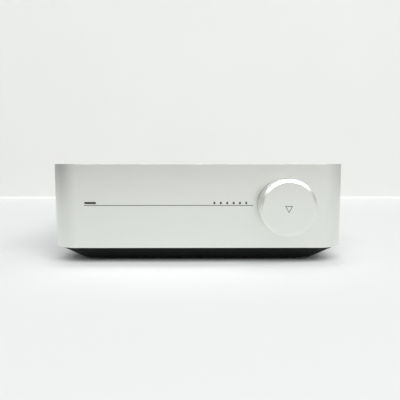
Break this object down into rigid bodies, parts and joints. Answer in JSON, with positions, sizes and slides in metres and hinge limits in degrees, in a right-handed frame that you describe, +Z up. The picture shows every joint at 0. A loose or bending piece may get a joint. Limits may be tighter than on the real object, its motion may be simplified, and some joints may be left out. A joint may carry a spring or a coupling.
{
  "type": "stereo receiver",
  "caption": "Compact square silver stereo receiver with rounded corners, a flared black base, a round push-and-turn volume knob, status window, level dots and rear sockets",
  "frame": {"origin": "bottom centre, on the surface that the feet stand on, midway between the knob's face and the ends of the loudspeaker terminals", "axes": "the front with the knob faces -Y, the sockets face +Y, +X is to the right as seen from the front, +Z up"},
  "size_m": [0.19, 0.214, 0.065],
  "materials": {
    "anodised_aluminium": "fine bead-blasted silver anodise",
    "heatsink_aluminium": "extruded",
    "base_plastic": "satin black",
    "panel_paint": "satin black",
    "foot_rubber": "matte black",
    "screw_steel": "blackened",
    "encoder_steel": "plated",
    "inner_plastic": "black",
    "lens_plastic": "smoked",
    "led_plastic": "milky",
    "board_laminate": "solder resist",
    "ribbon_film": "white film",
    "transformer_core": "ferrite with yellow tape",
    "shield_steel": "tinned",
    "gold_contact": "gold plated",
    "terminal_red": "clear red",
    "terminal_black": "black",
    "socket_plastic": "black"
  },
  "bodies": {
    "chassis": {"housing": "anodised_aluminium", "heatsink": "heatsink_aluminium", "base_tray": "base_plastic", "rear_panel": "panel_paint", "foot_front_left": "foot_rubber", "foot_rear_left": "foot_rubber", "foot_front_right": "foot_rubber", "foot_rear_right": "foot_rubber", "base_screw_front_left": "screw_steel", "base_screw_rear_left": "screw_steel", "base_screw_front_right": "screw_steel", "base_screw_rear_right": "screw_steel", "rear_screw_low_left": "screw_steel", "rear_screw_high_left": "screw_steel", "rear_screw_low_right": "screw_steel", "rear_screw_high_right": "screw_steel", "encoder_body": "encoder_steel", "encoder_nut": "encoder_steel", "ir_receiver": "inner_plastic", "amplifier_chip": "inner_plastic", "bulk_capacitor_inner": "inner_plastic", "bulk_capacitor_outer": "inner_plastic", "mains_lead": "inner_plastic", "status_window": "lens_plastic", "light_guide": "lens_plastic", "led_array": "led_plastic", "front_board": "board_laminate", "main_board": "board_laminate", "power_board": "board_laminate", "terminal_board": "board_laminate", "antenna": "board_laminate", "front_ribbon": "ribbon_film", "transformer": "transformer_core", "wireless_module": "shield_steel", "hdmi_port": "shield_steel", "usb_port": "shield_steel", "ethernet_port": "shield_steel", "terminal_stud_right_plus": "gold_contact", "terminal_stud_right_minus": "gold_contact", "terminal_stud_left_plus": "gold_contact", "terminal_stud_left_minus": "gold_contact", "line_in_left": "gold_contact", "line_in_right": "gold_contact", "sub_out": "gold_contact", "terminal_plate": "socket_plastic", "optical_jack": "socket_plastic", "power_inlet": "socket_plastic"},
    "push_switch": {"switch_plunger": "inner_plastic"},
    "volume_knob": {"knob_cap": "anodised_aluminium", "knob_hub": "inner_plastic", "encoder_shaft": "encoder_steel"},
    "shutter": {"optical_shutter": "socket_plastic"},
    "sleeve_right_plus": {"terminal_sleeve_right_plus": "gold_contact"},
    "cap_right_plus": {"terminal_cap_right_plus": "terminal_red"},
    "sleeve_right_minus": {"terminal_sleeve_right_minus": "gold_contact"},
    "cap_right_minus": {"terminal_cap_right_minus": "terminal_black"},
    "sleeve_left_plus": {"terminal_sleeve_left_plus": "gold_contact"},
    "cap_left_plus": {"terminal_cap_left_plus": "terminal_red"},
    "sleeve_left_minus": {"terminal_sleeve_left_minus": "gold_contact"},
    "cap_left_minus": {"terminal_cap_left_minus": "terminal_black"}
  },
  "joints": [
    {"name": "knob_push", "type": "slide", "parent": "chassis", "child": "push_switch", "axis": [0, 1, 0], "range_m": [0, 0.0006], "stiffness_N_per_m": 1000, "springref_m": -0.003},
    {"name": "knob_turn", "type": "hinge", "parent": "push_switch", "child": "volume_knob", "pos_m": [0.0549, -0.095, 0.0383], "axis": [0, -1, 0], "continuous": true},
    {"name": "shutter_swing", "type": "hinge", "parent": "chassis", "child": "shutter", "pos_m": [-0.0179, 0.0938, 0.03122], "axis": [-1, 0, 0], "range_deg": [0, 80], "stiffness_Nm_per_rad": 0.00002, "springref_deg": -57.3},
    {"name": "terminal_right_plus_slide", "type": "slide", "parent": "chassis", "child": "sleeve_right_plus", "axis": [0, 1, 0], "range_m": [0, 0.003]},
    {"name": "terminal_right_plus_turn", "type": "hinge", "parent": "sleeve_right_plus", "child": "cap_right_plus", "pos_m": [0.0402, 0.0971, 0.04777], "axis": [0, 1, 0], "range_deg": [0, 1080]},
    {"name": "terminal_right_minus_slide", "type": "slide", "parent": "chassis", "child": "sleeve_right_minus", "axis": [0, 1, 0], "range_m": [0, 0.003]},
    {"name": "terminal_right_minus_turn", "type": "hinge", "parent": "sleeve_right_minus", "child": "cap_right_minus", "pos_m": [0.0402, 0.0971, 0.02873], "axis": [0, 1, 0], "range_deg": [0, 1080]},
    {"name": "terminal_left_plus_slide", "type": "slide", "parent": "chassis", "child": "sleeve_left_plus", "axis": [0, 1, 0], "range_m": [0, 0.003]},
    {"name": "terminal_left_plus_turn", "type": "hinge", "parent": "sleeve_left_plus", "child": "cap_left_plus", "pos_m": [0.0217, 0.0971, 0.04777], "axis": [0, 1, 0], "range_deg": [0, 1080]},
    {"name": "terminal_left_minus_slide", "type": "slide", "parent": "chassis", "child": "sleeve_left_minus", "axis": [0, 1, 0], "range_m": [0, 0.003]},
    {"name": "terminal_left_minus_turn", "type": "hinge", "parent": "sleeve_left_minus", "child": "cap_left_minus", "pos_m": [0.0217, 0.0971, 0.02873], "axis": [0, 1, 0], "range_deg": [0, 1080]}
  ],
  "couplings": [
    {"joint": "terminal_right_plus_turn", "follows": "terminal_right_plus_slide", "rad_per_m": 6283.2},
    {"joint": "terminal_right_minus_turn", "follows": "terminal_right_minus_slide", "rad_per_m": 6283.2},
    {"joint": "terminal_left_plus_turn", "follows": "terminal_left_plus_slide", "rad_per_m": 6283.2},
    {"joint": "terminal_left_minus_turn", "follows": "terminal_left_minus_slide", "rad_per_m": 6283.2}
  ]
}
